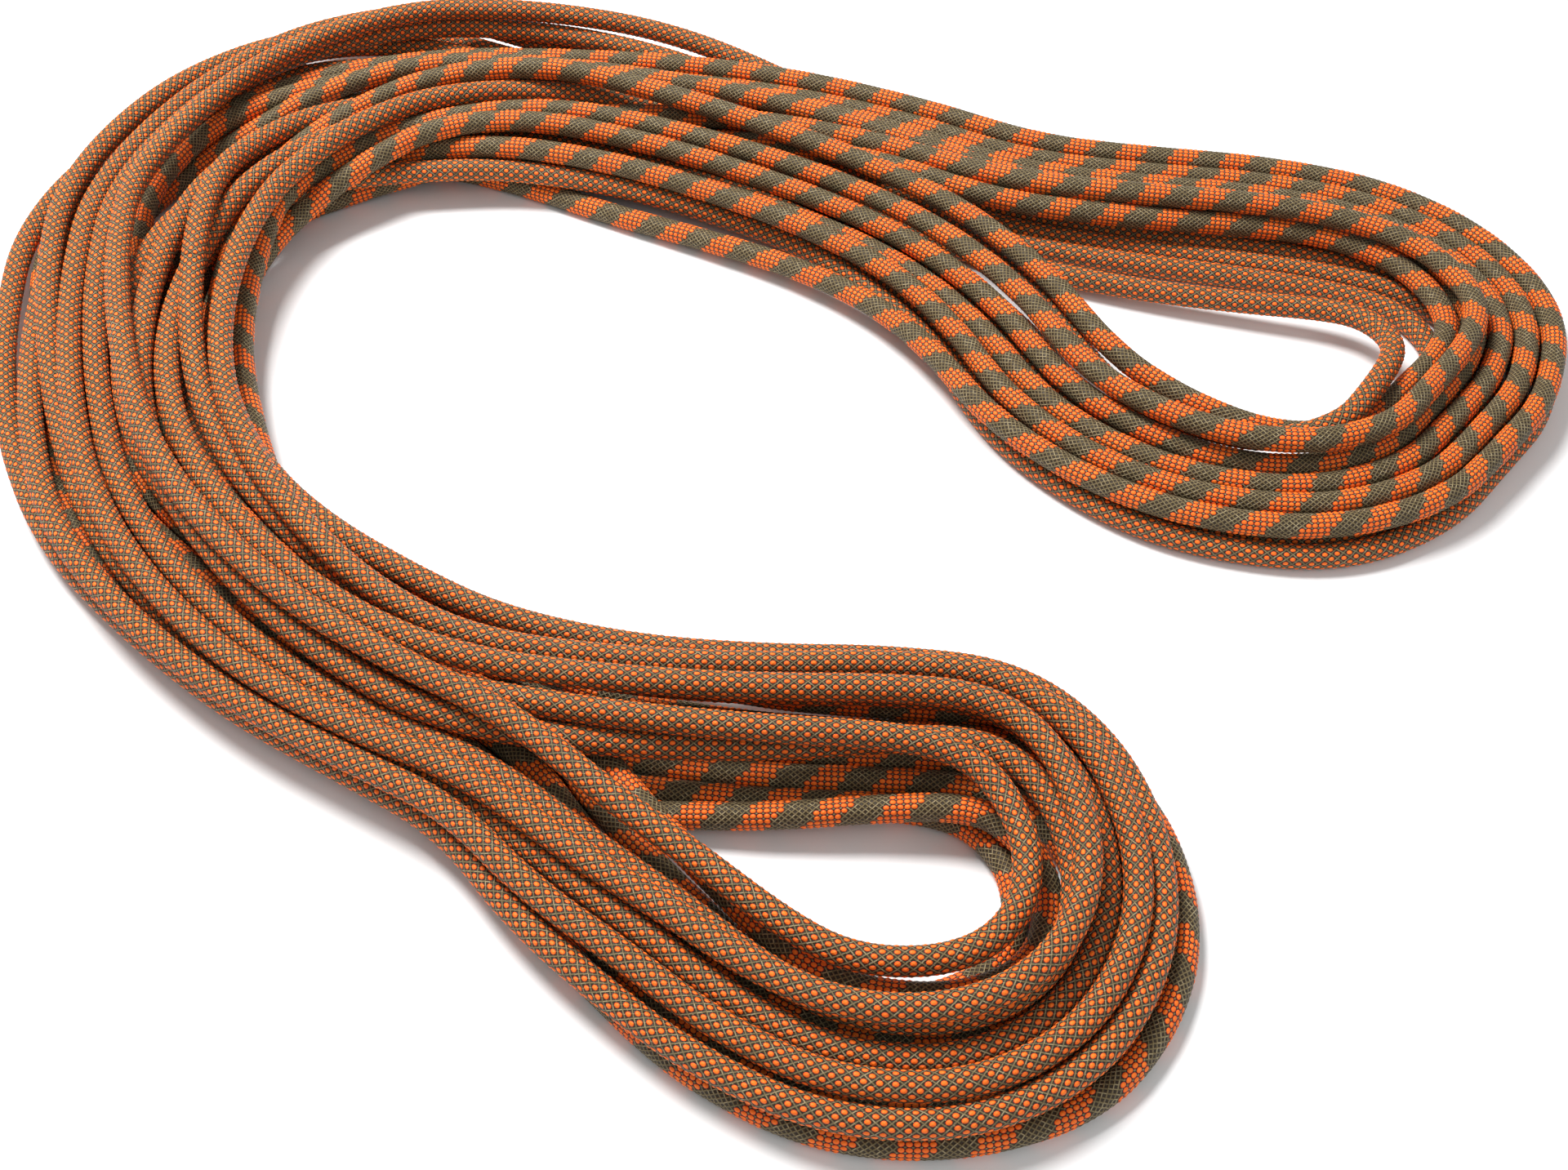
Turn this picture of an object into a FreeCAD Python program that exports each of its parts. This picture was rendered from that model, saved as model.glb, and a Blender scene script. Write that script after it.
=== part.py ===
import FreeCAD, Part
import math
import os

# A dynamic climbing rope of kernmantle construction, laid down as a skein of twelve turns.
# The skein is bent into a C, with an open loop at each end, and lies on the plane z = 0.
# The rope is one line: its first six turns have a banded sheath, its last six a dotted one.
# +Z is up, +Y points to the closed top of the C's upper arm, lengths are in millimetres.

# ---- driving dimensions ----
ROPE_DIAMETER = 9.5          # over the sheath
SHEATH_WALL = 0.9            # thickness of the braided sheath
TURNS_PER_HALF = 6           # turns of each sheath pattern
POINTS_PER_TURN = 60         # route points in one turn
TAIL_POINTS = 4              # route points of each free end, past its last full turn
SEAM_STATION = 26.5          # the station where one turn ends and the next begins
CROSSOVER = 0.12             # part of a turn over which the rope goes from one half to the other
GAP = 0.3                    # air left between neighbouring strands
WANDER = 0.30                # how far a strand strays sideways, in strand pitches
TAIL_STEP = 0.8              # how far a free end lies outside its last turn, in strand pitches
SLEEVE_LENGTH = 24.0         # heat-shrink sleeve on each rope end
SLEEVE_WALL = 0.4
CAP_LENGTH = 2.5             # sheath and core melted into one disc at each rope end
CAP_ROUNDING = 0.8
CORE_STRANDS_ROUND = 6       # strands laid around the central one
MARKER_RADIUS = 0.28         # the thread that runs along the core
ARC_SHARE = 0.45             # part of the shorter run that an arc takes at each end
SHORTEST_RADIUS = 3.0        # the tightest bend this limp rope should have, in diameters

# Settling: strands push each other apart, sink on to what lies under them and keep their stiffness.
# Each stage: rounds, pull back to the laid-out place, sinking in a round, stiffness.
STAGES = (
    (90, 0.08, 0.35, 0.15),
    (60, 0.03, 0.1, 0.15),
    (100, 0.015, 0.02, 0.15),
    (100, 0.005, 0.004, 0.1),
    (80, 0, 0, 0.05),
)
PUSH = 1.5                   # over-relaxation of the contacts
NEAR = 6.0                   # strands nearer than this beyond contact are watched
CELL = 30.0                  # how far apart the middles of two touching segments may be
LOOK_AGAIN = 12              # rounds between two searches for neighbours
EASED_RADIUS = 30.0          # bends tighter than this are opened a little each round

ROPE_RADIUS = ROPE_DIAMETER / 2
CORE_RADIUS = ROPE_RADIUS - SHEATH_WALL
PITCH = ROPE_DIAMETER + GAP
TURNS = 2 * TURNS_PER_HALF

# ---- the two halves of the skein, as stations round one turn ----
# Each half is a ribbon of six strands. A station gives the ribbon's middle in plan, the level of
# its upper row in strand diameters, its roll and its strand spacing in pitches. Roll counts the
# strands that have passed round the outer edge to the row below (0 to 6) and then back up round
# the inner edge (6 to 12); it grows by 12 in a turn, which is the skein's one twist.
DOTTED = [
    (-269.4, 85.9, 2, 0.8, 0.98), (-281.3, 132.5, 2, 0.8, 0.98), (-287.3, 188.7, 2, 0.8, 0.98),
    (-269.6, 247.8, 2, 0.9, 1), (-232.9, 301.6, 2, 1.6, 1), (-169, 329, 1.9, 3, 1.02),
    (-98.3, 310.8, 1.5, 4.6, 0.93), (-29.5, 283.8, 1.2, 5.7, 0.93), (32.2, 232.2, 1, 6, 0.93),
    (101.1, 194.7, 1, 6.2, 1), (172.8, 181.1, 1, 6.5, 1.2), (232.3, 169, 1, 6.8, 1.2),
    (268.7, 149.2, 1, 6.8, 0.95), (280.1, 112.8, 1, 6.8, 0.84), (254.2, 79.1, 1, 6.8, 0.8),
    (225.8, 47.3, 1, 6.8, 0.9), (181.2, 33.4, 1, 6.8, 1), (137.6, 53, 1, 6.8, 1.08),
    (105.6, 84, 1, 6.5, 1.1), (82, 142.1, 1, 6.2, 1.05), (40.6, 188.2, 1, 6, 0.93),
    (-8.4, 223.7, 0.8, 6.1, 0.93), (-63.6, 248, 1.1, 6.7, 0.93), (-126, 260.4, 1.5, 7.9, 1.08),
    (-182.5, 239.9, 1.9, 9.5, 1.15), (-216.2, 210.9, 2, 10.6, 1.1), (-232.9, 175.5, 2, 11.2, 1.04),
    (-235.8, 121.8, 2, 11.2, 1), (-225.4, 66.2, 2, 11, 0.98), (-199.5, 17.9, 2, 10.5, 0.98),
    (-159.8, -25, 2, 10, 0.98), (-112.5, -60.4, 2, 10.2, 0.98), (-47.2, -72.1, 1.5, 11, 0.82),
    (13, -72.7, 1.1, 11.6, 0.82), (59.2, -70.6, 1.1, 11.6, 0.82), (86, -91.3, 1.3, 11.4, 0.78),
    (95.6, -131, 1.4, 11.4, 0.78), (83, -167.4, 1.3, 11.6, 0.78), (50.3, -187.6, 1.1, 12, 0.87),
    (7.2, -183, 1.1, 12.2, 0.85), (-26.2, -157.6, 1.1, 12.4, 0.85), (-63.4, -129.2, 1.5, 13, 0.89),
    (-103.1, -92.8, 2, 13.8, 0.93), (-154.3, -68, 2, 14, 0.98), (-207.9, -23.9, 2, 13.8, 0.98),
    (-248, 29.1, 2, 13.2, 0.98),
]
BANDED = [
    (-264.3, 88.1, 1, 7, 0.96), (-275.4, 133.4, 1, 7, 0.96), (-288.4, 188.2, 1, 7.1, 0.98),
    (-267.4, 241.1, 1, 7.6, 1), (-218.1, 270.2, 1.2, 8.8, 1), (-155.9, 279.5, 1.5, 10.2, 1),
    (-92.3, 274.5, 1.5, 11.1, 0.95), (-25, 266, 1.3, 11.6, 0.95), (44.3, 242.8, 1.2, 11.8, 0.95),
    (108.3, 211, 1.2, 11.6, 1), (177.6, 203.7, 1.2, 11.4, 1), (232.7, 193, 1.2, 11.2, 1),
    (272.2, 163.2, 1.2, 11.2, 0.88), (284.6, 115.3, 1.2, 11.2, 0.84), (257, 77.6, 1.2, 11.2, 0.88),
    (229, 46.5, 1.2, 11.2, 0.93), (180.8, 34.6, 1.2, 11.2, 1), (134.5, 50.8, 1.2, 11.3, 1.08),
    (99.4, 81.7, 1.2, 11.6, 1.1), (73.1, 134.5, 1.2, 11.9, 1.05), (33.7, 174.7, 1.2, 12.1, 0.95),
    (-16.3, 204.4, 1.4, 12.3, 0.95), (-69.3, 228, 1.7, 12.8, 0.95), (-128, 243.5, 1.6, 13.8, 1.05),
    (-181.2, 232.4, 1.2, 15.2, 1.1), (-219.1, 204.7, 1, 16.3, 1.05), (-233.6, 165.4, 1, 17, 0.98),
    (-235.5, 114.3, 1, 17, 0.98), (-222.9, 62.8, 1, 16.8, 0.98), (-197.7, 13, 1, 16.3, 0.98),
    (-156.3, -21.9, 1, 16, 0.98), (-104.7, -48.2, 1, 17.5, 0.98), (-46.1, -74.5, 1, 17.9, 0.98),
    (15.2, -80.3, 1, 18.2, 0.76), (62.5, -80.7, 1, 18.6, 0.76), (90.8, -94.6, 1, 18.8, 0.8),
    (103.2, -132, 1, 18.8, 0.8), (90.7, -172.5, 1, 18.8, 0.8), (52.4, -189.4, 1, 18.8, 0.85),
    (6.1, -185.3, 1, 18.8, 0.85), (-27.7, -158.8, 1, 18.8, 0.83), (-60.9, -123.5, 1, 18.9, 0.85),
    (-92.4, -79.6, 1, 19.2, 0.92), (-139.8, -51.1, 1, 19.9, 0.94), (-194, -7.1, 1, 19.8, 0.96),
    (-239.8, 41.7, 1, 19.2, 0.96),
]
FULL_ROLL = 2 * TURNS_PER_HALF
ROLL_COLUMN = 3


def between_stations(stations, s):
    """The five values at place s, on a smooth closed curve through the stations."""
    first = math.floor(s)
    f = s - first
    values = []
    for column in range(len(stations[0])):
        corner = []
        for index in range(first - 1, first + 3):
            value = stations[index % len(stations)][column]
            if column == ROLL_COLUMN:
                value += FULL_ROLL * (index // len(stations))
            corner.append(value)
        a, b, c, d = corner
        values.append(b + 0.5 * f * (c - a + f * (2 * a - 5 * b + 4 * c - d + f * (3 * (b - c) + d - a))))
    return values


def across_ribbon(q, roll):
    """Where the strand at flat place q lies across the rolled ribbon, and its distance past the fold."""
    half = TURNS_PER_HALF / 2
    roll = roll % FULL_ROLL
    if roll <= TURNS_PER_HALF:
        folded, side, past = roll, 1, half - q - roll
    else:
        folded, side, past = FULL_ROLL - roll, -1, half + q - FULL_ROLL + roll
    middle = (folded ** 2 + (TURNS_PER_HALF - folded) ** 2) / (2 * TURNS_PER_HALF)
    return side * (middle - math.sqrt(past * past + 0.16)), past


def strand_point(t, half, tail):
    """The point of the laid-out rope t turns from its banded end, as a strand of one half."""
    stations = (BANDED, DOTTED)[half]
    s = SEAM_STATION + t * len(stations)
    x, y, level, roll, spacing = between_stations(stations, s % len(stations))
    back = between_stations(stations, (s - 0.05) % len(stations))
    ahead = between_stations(stations, (s + 0.05) % len(stations))
    along = math.hypot(ahead[0] - back[0], ahead[1] - back[1])
    out_x = (back[1] - ahead[1]) / along
    out_y = (ahead[0] - back[0]) / along
    q = TURNS_PER_HALF / 2 - min(TURNS_PER_HALF, max(0, t - TURNS_PER_HALF * half))
    across, past = across_ribbon(q, roll)
    stray = math.sin(2 * math.pi * 2.37 * t) + 0.75 * math.sin(2 * math.pi * 4.61 * t + 1)
    across = across * spacing + WANDER * stray * spacing ** 2 + TAIL_STEP * tail
    above = 1 if math.floor(t) % 2 else -1
    level = max(0, level - 0.5 + max(-0.5, min(0.5, past))) * (1 - min(1, 1.2 * tail))
    level = max(0, level + above * math.sqrt(max(0, 1 - spacing ** 2)) / 2)
    height = ROPE_RADIUS + level * ROPE_DIAMETER
    return [x + out_x * across * PITCH, y + out_y * across * PITCH, height]


def laid_out_route():
    """The whole rope's route before it settles, from its banded end to its dotted end."""
    points = []
    last = TURNS * POINTS_PER_TURN
    for i in range(-TAIL_POINTS, last + TAIL_POINTS + 1):
        t = i / POINTS_PER_TURN
        tail = min(1, max(0, 3 - i, i - last + 3) / (TAIL_POINTS + 1))
        over = (t - TURNS_PER_HALF) / CROSSOVER
        if 0 <= over < 1:
            share = over * over * (3 - 2 * over)
            banded = strand_point(t, 0, tail)
            dotted = strand_point(t, 1, tail)
            points.append([a + (b - a) * share for a, b in zip(banded, dotted)])
        else:
            points.append(strand_point(t, 0 if over < 0 else 1, tail))
    return points


def curve_nodes(points):
    """Points on the smooth curve that the route steers: one near each route point, one mid-run."""
    nodes = [tuple(points[0])]
    for i in range(1, len(points)):
        a, b = points[i - 1], points[i]
        nodes.append(((a[0] + b[0]) / 2, (a[1] + b[1]) / 2, (a[2] + b[2]) / 2))
        if i == len(points) - 1:
            nodes.append(tuple(b))
        else:
            c = points[i + 1]
            nodes.append(tuple((a[k] + 6 * b[k] + c[k]) / 8 for k in range(3)))
    return nodes


def closest(a, b, c, d):
    """Where segments a-b and c-d are nearest: both fractions, and the vector between those points."""
    ux, uy, uz = b[0] - a[0], b[1] - a[1], b[2] - a[2]
    vx, vy, vz = d[0] - c[0], d[1] - c[1], d[2] - c[2]
    wx, wy, wz = a[0] - c[0], a[1] - c[1], a[2] - c[2]
    uu = ux * ux + uy * uy + uz * uz
    uv = ux * vx + uy * vy + uz * vz
    vv = vx * vx + vy * vy + vz * vz
    uw = ux * wx + uy * wy + uz * wz
    vw = vx * wx + vy * wy + vz * wz
    slant = uu * vv - uv * uv
    s = (uv * vw - vv * uw) / slant if slant > 1e-9 * uu * vv else 0.5
    s = 0.0 if s < 0 else 1.0 if s > 1 else s
    t = (uv * s + vw) / vv
    if t < 0 or t > 1:
        t = 0.0 if t < 0 else 1.0
        s = (uv * t - uw) / uu
        s = 0.0 if s < 0 else 1.0 if s > 1 else s
    return s, t, wx + s * ux - t * vx, wy + s * uy - t * vy, wz + s * uz - t * vz


def neighbours(nodes):
    """Pairs of curve segments that are, or may soon be, in contact."""
    cells = {}
    middles = []
    for k in range(len(nodes) - 1):
        a, b = nodes[k], nodes[k + 1]
        middle = ((a[0] + b[0]) / 2, (a[1] + b[1]) / 2, (a[2] + b[2]) / 2)
        middles.append(middle)
        cells.setdefault((int(middle[0] // CELL), int(middle[1] // CELL)), []).append(k)
    pairs = []
    for (column, row), inside in cells.items():
        around = []
        for i in (-1, 0, 1):
            for j in (-1, 0, 1):
                around += cells.get((column + i, row + j), [])
        for k in inside:
            mx, my, mz = middles[k]
            for m in around:
                if m <= k + 8 or abs(mz - middles[m][2]) > 2 * ROPE_DIAMETER:
                    continue
                if (mx - middles[m][0]) ** 2 + (my - middles[m][1]) ** 2 > CELL ** 2:
                    continue
                x, y, z = closest(nodes[k], nodes[k + 1], nodes[m], nodes[m + 1])[2:]
                if x * x + y * y + z * z < (PITCH + NEAR) ** 2:
                    pairs.append((k, m))
    return pairs


def contact_shifts(nodes, pairs, count):
    """How contacts move each route point: summed shifts and their weights."""
    shifts = [[0.0, 0.0, 0.0, 0.0] for _ in range(count)]
    sleeved = 2 * TAIL_POINTS
    for k, m in pairs:
        s, t, x, y, z = closest(nodes[k], nodes[k + 1], nodes[m], nodes[m + 1])
        reach = PITCH + (SLEEVE_WALL if k < sleeved or m > len(nodes) - 2 - sleeved else 0)
        square = x * x + y * y + z * z
        if square >= reach * reach:
            continue
        if square < 1:
            x, y, z, square = 0.0, 0.0, -1.0, 1.0
        distance = math.sqrt(square)
        part = 0.5 * (reach - distance) / distance
        for start, fraction, sign in ((k, s, part), (m, t, -part)):
            for node, weight in ((start, 1 - fraction), (start + 1, fraction)):
                if weight < 0.02:
                    continue
                touched = (node >> 1, (node >> 1) + 1) if node & 1 else (node >> 1,)
                w = weight / len(touched)
                for i in touched:
                    shift = shifts[i]
                    shift[0] += sign * x * w
                    shift[1] += sign * y * w
                    shift[2] += sign * z * w
                    shift[3] += w
    return shifts


def stiffen(points, home, stiffness):
    """A strand's way off its laid-out place changes smoothly along it, and so does its height."""
    strayed = [(p[0] - h[0], p[1] - h[1], p[2]) for p, h in zip(points, home)]
    for i in range(1, len(points) - 1):
        for axis in range(3):
            mean = (strayed[i - 1][axis] + strayed[i + 1][axis]) / 2
            points[i][axis] += stiffness * (mean - strayed[i][axis])


def ease_bends(points):
    """Open the bends that are too tight for the rope."""
    moves = []
    for a, b, c in zip(points, points[1:], points[2:]):
        back = [a[k] - b[k] for k in range(3)]
        on = [c[k] - b[k] for k in range(3)]
        back_run = math.sqrt(back[0] ** 2 + back[1] ** 2 + back[2] ** 2)
        on_run = math.sqrt(on[0] ** 2 + on[1] ** 2 + on[2] ** 2)
        cosine = (back[0] * on[0] + back[1] * on[1] + back[2] * on[2]) / (back_run * on_run)
        half_turn_tangent = math.sqrt(max(1 + cosine, 1e-9) / (1 - cosine))
        radius = ARC_SHARE * min(back_run, on_run) / half_turn_tangent
        share = 0.125 * max(0, 1 - radius / EASED_RADIUS)
        moves.append([share * (back[k] + on[k]) for k in range(3)])
    for point, move in zip(points[1:], moves):
        for axis in range(3):
            point[axis] += move[axis]


def settle(points, home, rounds, pull, drop, stiffness):
    pairs = []
    for done in range(rounds):
        nodes = curve_nodes(points)
        if done % LOOK_AGAIN == 0:
            pairs = neighbours(nodes)
        shifts = contact_shifts(nodes, pairs, len(points))
        for p, h, (x, y, z, weight) in zip(points, home, shifts):
            gain = PUSH / max(weight, 1.0)
            p[0] += x * gain + (h[0] - p[0]) * pull
            p[1] += y * gain + (h[1] - p[1]) * pull
            p[2] += z * gain - drop
        stiffen(points, home, stiffness)
        ease_bends(points)
        for i, p in enumerate(points):
            sleeved = i < TAIL_POINTS or i >= len(points) - TAIL_POINTS
            p[2] = max(p[2], ROPE_RADIUS + (SLEEVE_WALL if sleeved else 0))


def settled_route():
    """The rope's route once its strands lie on the floor and on each other, centred on the origin."""
    points = laid_out_route()
    home = [tuple(p) for p in points]
    for stage in STAGES:
        settle(points, home, *stage)
    for axis in (0, 1):
        values = [p[axis] for p in points]
        middle = (min(values) + max(values)) / 2
        for p in points:
            p[axis] -= middle
    return points


# ---- solids ----

def vector(p):
    return FreeCAD.Vector(p[0], p[1], p[2])


def arc_at(before, corner, after):
    """The tangent arc that rounds one point of the route: its start, middle, end and radius."""
    back = (before - corner).normalize()
    on = (after - corner).normalize()
    cut = ARC_SHARE * min((before - corner).Length, (after - corner).Length)
    half_turn = (math.pi - back.getAngle(on)) / 2
    radius = cut / math.tan(half_turn)
    inward = (back + on).normalize()
    middle = corner + inward * (radius / math.cos(half_turn) - radius)
    return corner + back * cut, middle, corner + on * cut, radius


def rounded_path(points):
    """Straight runs joined by tangent arcs."""
    edges = []
    radii = []
    reached = points[0]
    for before, corner, after in zip(points, points[1:], points[2:]):
        start, middle, end, radius = arc_at(before, corner, after)
        edges.append(Part.LineSegment(reached, start).toShape())
        edges.append(Part.Arc(start, middle, end).toShape())
        radii.append(radius)
        reached = end
    edges.append(Part.LineSegment(reached, points[-1]).toShape())
    return Part.Wire(edges), radii


def rod(path, centre, direction, radius):
    ring = Part.Wire([Part.Circle(centre, direction, radius).toShape()])
    return path.makePipe(Part.Face(ring))


def tube(path, centre, direction, radius, bore):
    outer = Part.Face(Part.Wire([Part.Circle(centre, direction, radius).toShape()]))
    inner = Part.Face(Part.Wire([Part.Circle(centre, direction, bore).toShape()]))
    return path.makePipe(outer.cut(inner).Faces[0])


def write(name, shape):
    if not shape.isValid():
        raise ValueError(name + " is not a valid solid")
    shape.exportStep("parts/" + name + ".step")


def turn_points(route, turn):
    """The route of one turn, cut square in the middle of a run at each inner end."""
    start = TAIL_POINTS + turn * POINTS_PER_TURN
    stop = start + POINTS_PER_TURN
    inner = route[start + 1:stop + 1]
    if turn == 0:
        inner = route[1:start + 1] + inner
        first = route[0]
    else:
        first = (route[start] + route[start + 1]) * 0.5
    if turn == TURNS - 1:
        inner = inner + route[stop + 1:-1]
        last = route[-1]
    else:
        last = (route[stop] + route[stop + 1]) * 0.5
    return [first] + inner + [last]


def trimmed(points, at_start, length):
    """The same points with one end run shortened by length."""
    points = list(points)
    if at_start:
        points[0] = points[0] + (points[1] - points[0]).normalize() * length
    else:
        points[-1] = points[-1] + (points[-2] - points[-1]).normalize() * length
    return points


def make_turn(route, turn, report):
    """Sheath and core of one turn; the end turns stop short of the melted cap and the core's end."""
    pattern = ("banded", "dotted")[turn // TURNS_PER_HALF]
    number = turn % TURNS_PER_HALF + 1
    points = turn_points(route, turn)
    sheath_points, core_points = points, points
    for is_end, at_start in ((turn == 0, True), (turn == TURNS - 1, False)):
        if is_end:
            sheath_points = trimmed(points, at_start, CAP_LENGTH)
            core_points = trimmed(points, at_start, SLEEVE_LENGTH)
    start_run = (points[1] - points[0]).normalize()
    whole, radii = rounded_path_keeping_arcs(points, sheath_points)
    sheath = tube(whole, sheath_points[0], start_run, ROPE_RADIUS, CORE_RADIUS)
    inner, _ = rounded_path_keeping_arcs(points, core_points)
    core = rod(inner, core_points[0], start_run, CORE_RADIUS)
    write(f"sheath_{pattern}_turn_{number}", sheath)
    write(f"core_{pattern}_turn_{number}", core)
    ring = math.pi * (ROPE_RADIUS ** 2 - CORE_RADIUS ** 2)
    report.append((pattern, number, whole.Length, sheath.Volume / (ring * whole.Length), min(radii)))


def rounded_path_keeping_arcs(points, trimmed_points):
    """The rounded path of points, with its end runs cut back to the ends of trimmed_points."""
    path, radii = rounded_path(points)
    edges = path.Edges
    starts = trimmed_points[0]
    ends = trimmed_points[-1]
    edges[0] = Part.LineSegment(starts, edges[0].Vertexes[-1].Point).toShape()
    edges[-1] = Part.LineSegment(edges[-1].Vertexes[0].Point, ends).toShape()
    return Part.Wire(edges), radii


def make_end(route, at_start, pattern):
    """The pieces at one free end: sleeve, melted cap, core strands and marker thread."""
    tip, inward = (route[0], route[1]) if at_start else (route[-1], route[-2])
    axis = (inward - tip).normalize()
    inner_face = tip + axis * CAP_LENGTH
    sleeve = Part.makeCylinder(ROPE_RADIUS + SLEEVE_WALL, SLEEVE_LENGTH - CAP_LENGTH, inner_face, axis)
    bore = Part.makeCylinder(ROPE_RADIUS, SLEEVE_LENGTH, tip, axis)
    write(f"end_sleeve_{pattern}", sleeve.cut(bore))
    cap = Part.makeCylinder(ROPE_RADIUS, CAP_LENGTH, tip, axis)
    outer_rim = min(cap.Edges, key=lambda e: (e.CenterOfMass - tip).Length if e.Closed else 1e9)
    write(f"melted_cap_{pattern}", cap.makeFillet(CAP_ROUNDING, [outer_rim]))
    side = axis.cross(FreeCAD.Vector(0, 0, 1)).normalize()
    up = axis.cross(side).normalize()
    strand_radius = CORE_RADIUS / 3
    length = SLEEVE_LENGTH - CAP_LENGTH
    strands = [Part.makeCylinder(strand_radius, length, inner_face, axis)]
    for i in range(CORE_STRANDS_ROUND):
        angle = 2 * math.pi * i / CORE_STRANDS_ROUND
        offset = (side * math.cos(angle) + up * math.sin(angle)) * (2 * strand_radius)
        strands.append(Part.makeCylinder(strand_radius, length, inner_face + offset, axis))
    write(f"core_strands_{pattern}_end", Part.makeCompound(strands))
    angle = math.pi / CORE_STRANDS_ROUND
    offset = (side * math.cos(angle) + up * math.sin(angle)) * (CORE_RADIUS - 2 * MARKER_RADIUS)
    thread = Part.makeCylinder(MARKER_RADIUS, length, inner_face + offset, axis)
    write(f"marker_thread_{pattern}_end", thread)


def main():
    os.makedirs("parts", exist_ok=True)
    route = [vector(p) for p in settled_route()]
    report = []
    for turn in range(TURNS):
        make_turn(route, turn, report)
    make_end(route, True, "banded")
    make_end(route, False, "dotted")
    for pattern, number, length, volume_ratio, radius in report:
        print(f"{pattern} turn {number}: {length:.0f} mm, volume / (section x length) "
              f"{volume_ratio:.4f}, tightest radius {radius:.1f} mm")
    total = sum(row[2] for row in report)
    tightest = min(row[4] for row in report)
    print(f"rope {total / 1000:.2f} m, tightest radius {tightest:.1f} mm, "
          f"aim at least {SHORTEST_RADIUS * ROPE_DIAMETER:.1f} mm")


main()
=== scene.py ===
import math
import bpy
import numpy as np
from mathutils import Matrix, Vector


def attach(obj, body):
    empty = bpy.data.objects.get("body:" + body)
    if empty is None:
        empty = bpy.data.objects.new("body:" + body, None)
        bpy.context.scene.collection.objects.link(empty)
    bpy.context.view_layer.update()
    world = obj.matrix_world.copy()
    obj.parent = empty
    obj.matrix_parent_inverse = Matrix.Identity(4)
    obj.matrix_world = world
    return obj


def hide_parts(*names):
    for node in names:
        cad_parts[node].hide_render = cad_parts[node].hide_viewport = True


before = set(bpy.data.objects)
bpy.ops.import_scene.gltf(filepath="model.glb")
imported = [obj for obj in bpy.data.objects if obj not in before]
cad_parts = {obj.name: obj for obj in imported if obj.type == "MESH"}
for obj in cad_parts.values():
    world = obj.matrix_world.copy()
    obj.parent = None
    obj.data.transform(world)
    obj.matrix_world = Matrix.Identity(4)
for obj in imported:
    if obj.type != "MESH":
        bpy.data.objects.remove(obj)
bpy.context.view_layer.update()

# A dynamic climbing rope laid down as a skein of twelve turns: six banded, then six dotted.
# The route is worked out in millimetres, as the solids' is, and every object is in metres.

# ---- the rope and its route ----
ROPE_DIAMETER = 9.5          # over the sheath
TURNS_PER_HALF = 6           # turns of each sheath pattern
POINTS_PER_TURN = 60         # route points in one turn
TAIL_POINTS = 4              # route points of each free end, past its last full turn
SEAM_STATION = 26.5          # the station where one turn ends and the next begins
CROSSOVER = 0.12             # part of a turn over which the rope goes from one half to the other
GAP = 0.3                    # air left between neighbouring strands
WANDER = 0.30                # how far a strand strays sideways, in strand pitches
TAIL_STEP = 0.8              # how far a free end lies outside its last turn, in strand pitches
SLEEVE_LENGTH = 24.0         # heat-shrink sleeve on each rope end
SLEEVE_WALL = 0.4
CAP_LENGTH = 2.5             # sheath and core melted into one disc at each rope end
ARC_SHARE = 0.45             # part of the shorter run that a bend takes up at each end

# Settling: strands push each other apart, sink on to what lies under them and keep their stiffness.
# Each stage: rounds, pull back to the laid-out place, sinking in a round, stiffness.
STAGES = (
    (90, 0.08, 0.35, 0.15),
    (60, 0.03, 0.1, 0.15),
    (100, 0.015, 0.02, 0.15),
    (100, 0.005, 0.004, 0.1),
    (80, 0, 0, 0.05),
)
PUSH = 1.5                   # over-relaxation of the contacts
NEAR = 6.0                   # strands nearer than this beyond contact are watched
CELL = 30.0                  # how far apart the middles of two touching segments may be
LOOK_AGAIN = 12              # rounds between two searches for neighbours
EASED_RADIUS = 30.0          # bends tighter than this are opened a little each round

ROPE_RADIUS = ROPE_DIAMETER / 2
PITCH = ROPE_DIAMETER + GAP
TURNS = 2 * TURNS_PER_HALF
MM = 0.001

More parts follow.
